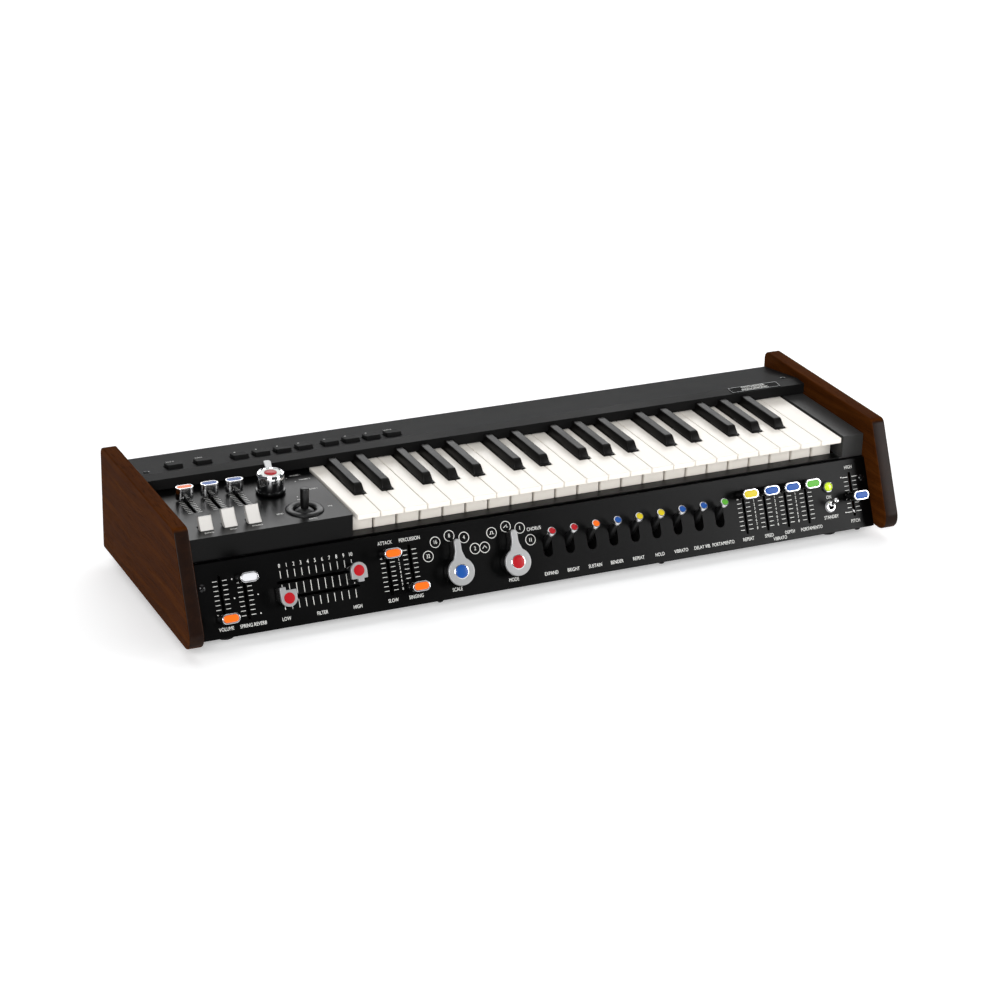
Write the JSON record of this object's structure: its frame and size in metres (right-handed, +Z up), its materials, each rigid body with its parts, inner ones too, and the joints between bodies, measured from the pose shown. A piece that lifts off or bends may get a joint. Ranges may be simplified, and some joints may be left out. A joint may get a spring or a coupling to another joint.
{
  "type": "synthesizer",
  "caption": "Wooden-sided keyboard synthesizer with sprung keys, sliding faders, pointer knobs, paddle levers and a joystick.",
  "frame": {"origin": "on the ground under the middle of the instrument", "axes": "+X along the keyboard from low to high notes, +Y to the back, +Z up"},
  "size_m": [0.7416, 0.2547, 0.1212],
  "materials": {
    "walnut": "satin oiled veneer",
    "black_steel": "fine satin paint",
    "charcoal_steel": "fine satin paint",
    "ivory_plastic": "glossy",
    "ebony_plastic": "fine satin",
    "cap_rim": "bright satin plating",
    "chrome": "mirror plated",
    "control_black": "satin",
    "button_rubber": "matt"
  },
  "bodies": {
    "case": {"chassis": "black_steel", "left_side_panel": "walnut", "right_side_panel": "walnut", "front_panel": "black_steel", "keyboard_surround": "black_steel", "rear_cover": "charcoal_steel"},
    "volume_slider": {"volume_slider": "cap_rim"},
    "reverb_slider": {"reverb_slider": "cap_rim"},
    "attack_slider": {"attack_slider": "cap_rim"},
    "percussion_slider": {"percussion_slider": "cap_rim"},
    "pitch_slider": {"pitch_slider": "cap_rim"},
    "modulation_sliders": {"modulation_sliders": "cap_rim"},
    "traveler_low_slider": {"traveler_low_slider": "cap_rim"},
    "traveler_high_slider": {"traveler_high_slider": "cap_rim"},
    "scale_knob": {"scale_knob": "control_black"},
    "mode_knob": {"mode_knob": "control_black"},
    "effect_levers": {"effect_levers": "control_black"},
    "power_toggle": {"power_toggle": "chrome"},
    "top_sliders": {"top_sliders": "cap_rim"},
    "effect_knob": {"effect_knob": "chrome"},
    "joystick_gimbal": {"joystick_gimbal": "chrome"},
    "joystick_stick": {"joystick_stick": "control_black"},
    "preset_buttons": {"preset_buttons": "button_rubber"},
    "key_c3": {"key_c3": "ivory_plastic"},
    "key_csharp3": {"key_csharp3": "ebony_plastic"},
    "key_d3": {"key_d3": "ivory_plastic"},
    "key_dsharp3": {"key_dsharp3": "ebony_plastic"},
    "key_e3": {"key_e3": "ivory_plastic"},
    "key_f3": {"key_f3": "ivory_plastic"},
    "key_fsharp3": {"key_fsharp3": "ebony_plastic"},
    "key_g3": {"key_g3": "ivory_plastic"},
    "key_gsharp3": {"key_gsharp3": "ebony_plastic"},
    "key_a3": {"key_a3": "ivory_plastic"},
    "key_asharp3": {"key_asharp3": "ebony_plastic"},
    "key_b3": {"key_b3": "ivory_plastic"},
    "key_c4": {"key_c4": "ivory_plastic"},
    "key_csharp4": {"key_csharp4": "ebony_plastic"},
    "key_d4": {"key_d4": "ivory_plastic"},
    "key_dsharp4": {"key_dsharp4": "ebony_plastic"},
    "key_e4": {"key_e4": "ivory_plastic"},
    "key_f4": {"key_f4": "ivory_plastic"},
    "key_fsharp4": {"key_fsharp4": "ebony_plastic"},
    "key_g4": {"key_g4": "ivory_plastic"},
    "key_gsharp4": {"key_gsharp4": "ebony_plastic"},
    "key_a4": {"key_a4": "ivory_plastic"},
    "key_asharp4": {"key_asharp4": "ebony_plastic"},
    "key_b4": {"key_b4": "ivory_plastic"},
    "key_c5": {"key_c5": "ivory_plastic"},
    "key_csharp5": {"key_csharp5": "ebony_plastic"},
    "key_d5": {"key_d5": "ivory_plastic"},
    "key_dsharp5": {"key_dsharp5": "ebony_plastic"},
    "key_e5": {"key_e5": "ivory_plastic"},
    "key_f5": {"key_f5": "ivory_plastic"},
    "key_fsharp5": {"key_fsharp5": "ebony_plastic"},
    "key_g5": {"key_g5": "ivory_plastic"},
    "key_gsharp5": {"key_gsharp5": "ebony_plastic"},
    "key_a5": {"key_a5": "ivory_plastic"},
    "key_asharp5": {"key_asharp5": "ebony_plastic"},
    "key_b5": {"key_b5": "ivory_plastic"},
    "key_c6": {"key_c6": "ivory_plastic"}
  },
  "joints": [
    {"name": "joystick_fore_aft", "type": "hinge", "parent": "case", "child": "joystick_gimbal", "pos_m": [-0.22975, -0.04415, 0.0885], "axis": [1, 0, 0], "range_deg": [-20, 20], "stiffness_Nm_per_rad": 0.05},
    {"name": "joystick_sideways", "type": "hinge", "parent": "joystick_gimbal", "child": "joystick_stick", "pos_m": [-0.22975, -0.04415, 0.0885], "axis": [0, 1, 0], "range_deg": [-20, 20], "stiffness_Nm_per_rad": 0.05},
    {"name": "effect_knob_turn", "type": "hinge", "parent": "case", "child": "effect_knob", "pos_m": [-0.24445, 0.00585, 0.0995], "axis": [0, 0, 1], "range_deg": [-45, 45]},
    {"name": "scale_knob_turn", "type": "hinge", "parent": "case", "child": "scale_knob", "pos_m": [-0.09695, -0.0935, 0.03471], "axis": [0, -0.9131, 0.4077], "range_deg": [-55, 55]},
    {"name": "mode_knob_turn", "type": "hinge", "parent": "case", "child": "mode_knob", "pos_m": [-0.03855, -0.0935, 0.03471], "axis": [0, -0.9131, 0.4077], "range_deg": [-55, 55]},
    {"name": "power_toggle_flip", "type": "hinge", "parent": "case", "child": "power_toggle", "pos_m": [0.30985, -0.09292, 0.03599], "axis": [1, 0, 0], "range_deg": [0, 44]},
    {"name": "effect_levers_flip", "type": "hinge", "parent": "case", "child": "effect_levers", "pos_m": [-0.18935, -0.0807, 0.03885], "axis": [1, 0, 0], "range_deg": [0, 60]},
    {"name": "volume_slide", "type": "slide", "parent": "case", "child": "volume_slider", "axis": [0, 0.4077, 0.9131], "range_m": [0, 0.0344]},
    {"name": "reverb_slide", "type": "slide", "parent": "case", "child": "reverb_slider", "axis": [0, 0.4077, 0.9131], "range_m": [-0.0344, 0]},
    {"name": "attack_slide", "type": "slide", "parent": "case", "child": "attack_slider", "axis": [0, 0.4077, 0.9131], "range_m": [-0.0344, 0]},
    {"name": "percussion_slide", "type": "slide", "parent": "case", "child": "percussion_slider", "axis": [0, 0.4077, 0.9131], "range_m": [0, 0.0344]},
    {"name": "pitch_slide", "type": "slide", "parent": "case", "child": "pitch_slider", "axis": [0, 0.4077, 0.9131], "range_m": [-0.0153, 0.0191]},
    {"name": "modulation_slide", "type": "slide", "parent": "case", "child": "modulation_sliders", "axis": [0, 0.4077, 0.9131], "range_m": [-0.0344, 0]},
    {"name": "traveler_low_slide", "type": "slide", "parent": "case", "child": "traveler_low_slider", "axis": [1, 0, 0], "range_m": [0, 0.026]},
    {"name": "traveler_high_slide", "type": "slide", "parent": "case", "child": "traveler_high_slider", "axis": [1, 0, 0], "range_m": [-0.026, 0]},
    {"name": "top_sliders_slide", "type": "slide", "parent": "case", "child": "top_sliders", "axis": [0, 1, 0], "range_m": [-0.0265, 0]},
    {"name": "preset_buttons_press", "type": "slide", "parent": "case", "child": "preset_buttons", "axis": [0, -0.1547, -0.988], "range_m": [0, 0.0008], "stiffness_N_per_m": 1500, "springref_m": -0.001},
    {"name": "key_c3_press", "type": "hinge", "parent": "case", "child": "key_c3", "pos_m": [-0.17755, 0.10775, 0.0795], "axis": [1, 0, 0], "range_deg": [0, 3], "stiffness_Nm_per_rad": 0.6, "springref_deg": -17.19},
    {"name": "key_csharp3_press", "type": "hinge", "parent": "case", "child": "key_csharp3", "pos_m": [-0.16795, 0.10775, 0.0795], "axis": [1, 0, 0], "range_deg": [0, 3], "stiffness_Nm_per_rad": 0.6, "springref_deg": -17.19},
    {"name": "key_d3_press", "type": "hinge", "parent": "case", "child": "key_d3", "pos_m": [-0.15395, 0.10775, 0.0795], "axis": [1, 0, 0], "range_deg": [0, 3], "stiffness_Nm_per_rad": 0.6, "springref_deg": -17.19},
    {"name": "key_dsharp3_press", "type": "hinge", "parent": "case", "child": "key_dsharp3", "pos_m": [-0.13995, 0.10775, 0.0795], "axis": [1, 0, 0], "range_deg": [0, 3], "stiffness_Nm_per_rad": 0.6, "springref_deg": -17.19},
    {"name": "key_e3_press", "type": "hinge", "parent": "case", "child": "key_e3", "pos_m": [-0.13035, 0.10775, 0.0795], "axis": [1, 0, 0], "range_deg": [0, 3], "stiffness_Nm_per_rad": 0.6, "springref_deg": -17.19},
    {"name": "key_f3_press", "type": "hinge", "parent": "case", "child": "key_f3", "pos_m": [-0.10675, 0.10775, 0.0795], "axis": [1, 0, 0], "range_deg": [0, 3], "stiffness_Nm_per_rad": 0.6, "springref_deg": -17.19},
    {"name": "key_fsharp3_press", "type": "hinge", "parent": "case", "child": "key_fsharp3", "pos_m": [-0.09775, 0.10775, 0.0795], "axis": [1, 0, 0], "range_deg": [0, 3], "stiffness_Nm_per_rad": 0.6, "springref_deg": -17.19},
    {"name": "key_g3_press", "type": "hinge", "parent": "case", "child": "key_g3", "pos_m": [-0.08315, 0.10775, 0.0795], "axis": [1, 0, 0], "range_deg": [0, 3], "stiffness_Nm_per_rad": 0.6, "springref_deg": -17.19},
    {"name": "key_gsharp3_press", "type": "hinge", "parent": "case", "child": "key_gsharp3", "pos_m": [-0.07135, 0.10775, 0.0795], "axis": [1, 0, 0], "range_deg": [0, 3], "stiffness_Nm_per_rad": 0.6, "springref_deg": -17.19},
    {"name": "key_a3_press", "type": "hinge", "parent": "case", "child": "key_a3", "pos_m": [-0.05955, 0.10775, 0.0795], "axis": [1, 0, 0], "range_deg": [0, 3], "stiffness_Nm_per_rad": 0.6, "springref_deg": -17.19},
    {"name": "key_asharp3_press", "type": "hinge", "parent": "case", "child": "key_asharp3", "pos_m": [-0.04495, 0.10775, 0.0795], "axis": [1, 0, 0], "range_deg": [0, 3], "stiffness_Nm_per_rad": 0.6, "springref_deg": -17.19},
    {"name": "key_b3_press", "type": "hinge", "parent": "case", "child": "key_b3", "pos_m": [-0.03595, 0.10775, 0.0795], "axis": [1, 0, 0], "range_deg": [0, 3], "stiffness_Nm_per_rad": 0.6, "springref_deg": -17.19},
    {"name": "key_c4_press", "type": "hinge", "parent": "case", "child": "key_c4", "pos_m": [-0.01235, 0.10775, 0.0795], "axis": [1, 0, 0], "range_deg": [0, 3], "stiffness_Nm_per_rad": 0.6, "springref_deg": -17.19},
    {"name": "key_csharp4_press", "type": "hinge", "parent": "case", "child": "key_csharp4", "pos_m": [-0.00275, 0.10775, 0.0795], "axis": [1, 0, 0], "range_deg": [0, 3], "stiffness_Nm_per_rad": 0.6, "springref_deg": -17.19},
    {"name": "key_d4_press", "type": "hinge", "parent": "case", "child": "key_d4", "pos_m": [0.01125, 0.10775, 0.0795], "axis": [1, 0, 0], "range_deg": [0, 3], "stiffness_Nm_per_rad": 0.6, "springref_deg": -17.19},
    {"name": "key_dsharp4_press", "type": "hinge", "parent": "case", "child": "key_dsharp4", "pos_m": [0.02525, 0.10775, 0.0795], "axis": [1, 0, 0], "range_deg": [0, 3], "stiffness_Nm_per_rad": 0.6, "springref_deg": -17.19},
    {"name": "key_e4_press", "type": "hinge", "parent": "case", "child": "key_e4", "pos_m": [0.03485, 0.10775, 0.0795], "axis": [1, 0, 0], "range_deg": [0, 3], "stiffness_Nm_per_rad": 0.6, "springref_deg": -17.19},
    {"name": "key_f4_press", "type": "hinge", "parent": "case", "child": "key_f4", "pos_m": [0.05845, 0.10775, 0.0795], "axis": [1, 0, 0], "range_deg": [0, 3], "stiffness_Nm_per_rad": 0.6, "springref_deg": -17.19},
    {"name": "key_fsharp4_press", "type": "hinge", "parent": "case", "child": "key_fsharp4", "pos_m": [0.06745, 0.10775, 0.0795], "axis": [1, 0, 0], "range_deg": [0, 3], "stiffness_Nm_per_rad": 0.6, "springref_deg": -17.19},
    {"name": "key_g4_press", "type": "hinge", "parent": "case", "child": "key_g4", "pos_m": [0.08205, 0.10775, 0.0795], "axis": [1, 0, 0], "range_deg": [0, 3], "stiffness_Nm_per_rad": 0.6, "springref_deg": -17.19},
    {"name": "key_gsharp4_press", "type": "hinge", "parent": "case", "child": "key_gsharp4", "pos_m": [0.09385, 0.10775, 0.0795], "axis": [1, 0, 0], "range_deg": [0, 3], "stiffness_Nm_per_rad": 0.6, "springref_deg": -17.19},
    {"name": "key_a4_press", "type": "hinge", "parent": "case", "child": "key_a4", "pos_m": [0.10565, 0.10775, 0.0795], "axis": [1, 0, 0], "range_deg": [0, 3], "stiffness_Nm_per_rad": 0.6, "springref_deg": -17.19},
    {"name": "key_asharp4_press", "type": "hinge", "parent": "case", "child": "key_asharp4", "pos_m": [0.12025, 0.10775, 0.0795], "axis": [1, 0, 0], "range_deg": [0, 3], "stiffness_Nm_per_rad": 0.6, "springref_deg": -17.19},
    {"name": "key_b4_press", "type": "hinge", "parent": "case", "child": "key_b4", "pos_m": [0.12925, 0.10775, 0.0795], "axis": [1, 0, 0], "range_deg": [0, 3], "stiffness_Nm_per_rad": 0.6, "springref_deg": -17.19},
    {"name": "key_c5_press", "type": "hinge", "parent": "case", "child": "key_c5", "pos_m": [0.15285, 0.10775, 0.0795], "axis": [1, 0, 0], "range_deg": [0, 3], "stiffness_Nm_per_rad": 0.6, "springref_deg": -17.19},
    {"name": "key_csharp5_press", "type": "hinge", "parent": "case", "child": "key_csharp5", "pos_m": [0.16245, 0.10775, 0.0795], "axis": [1, 0, 0], "range_deg": [0, 3], "stiffness_Nm_per_rad": 0.6, "springref_deg": -17.19},
    {"name": "key_d5_press", "type": "hinge", "parent": "case", "child": "key_d5", "pos_m": [0.17645, 0.10775, 0.0795], "axis": [1, 0, 0], "range_deg": [0, 3], "stiffness_Nm_per_rad": 0.6, "springref_deg": -17.19},
    {"name": "key_dsharp5_press", "type": "hinge", "parent": "case", "child": "key_dsharp5", "pos_m": [0.19045, 0.10775, 0.0795], "axis": [1, 0, 0], "range_deg": [0, 3], "stiffness_Nm_per_rad": 0.6, "springref_deg": -17.19},
    {"name": "key_e5_press", "type": "hinge", "parent": "case", "child": "key_e5", "pos_m": [0.20005, 0.10775, 0.0795], "axis": [1, 0, 0], "range_deg": [0, 3], "stiffness_Nm_per_rad": 0.6, "springref_deg": -17.19},
    {"name": "key_f5_press", "type": "hinge", "parent": "case", "child": "key_f5", "pos_m": [0.22365, 0.10775, 0.0795], "axis": [1, 0, 0], "range_deg": [0, 3], "stiffness_Nm_per_rad": 0.6, "springref_deg": -17.19},
    {"name": "key_fsharp5_press", "type": "hinge", "parent": "case", "child": "key_fsharp5", "pos_m": [0.23265, 0.10775, 0.0795], "axis": [1, 0, 0], "range_deg": [0, 3], "stiffness_Nm_per_rad": 0.6, "springref_deg": -17.19},
    {"name": "key_g5_press", "type": "hinge", "parent": "case", "child": "key_g5", "pos_m": [0.24725, 0.10775, 0.0795], "axis": [1, 0, 0], "range_deg": [0, 3], "stiffness_Nm_per_rad": 0.6, "springref_deg": -17.19},
    {"name": "key_gsharp5_press", "type": "hinge", "parent": "case", "child": "key_gsharp5", "pos_m": [0.25905, 0.10775, 0.0795], "axis": [1, 0, 0], "range_deg": [0, 3], "stiffness_Nm_per_rad": 0.6, "springref_deg": -17.19},
    {"name": "key_a5_press", "type": "hinge", "parent": "case", "child": "key_a5", "pos_m": [0.27085, 0.10775, 0.0795], "axis": [1, 0, 0], "range_deg": [0, 3], "stiffness_Nm_per_rad": 0.6, "springref_deg": -17.19},
    {"name": "key_asharp5_press", "type": "hinge", "parent": "case", "child": "key_asharp5", "pos_m": [0.28545, 0.10775, 0.0795], "axis": [1, 0, 0], "range_deg": [0, 3], "stiffness_Nm_per_rad": 0.6, "springref_deg": -17.19},
    {"name": "key_b5_press", "type": "hinge", "parent": "case", "child": "key_b5", "pos_m": [0.29445, 0.10775, 0.0795], "axis": [1, 0, 0], "range_deg": [0, 3], "stiffness_Nm_per_rad": 0.6, "springref_deg": -17.19},
    {"name": "key_c6_press", "type": "hinge", "parent": "case", "child": "key_c6", "pos_m": [0.31805, 0.10775, 0.0795], "axis": [1, 0, 0], "range_deg": [0, 3], "stiffness_Nm_per_rad": 0.6, "springref_deg": -17.19}
  ]
}
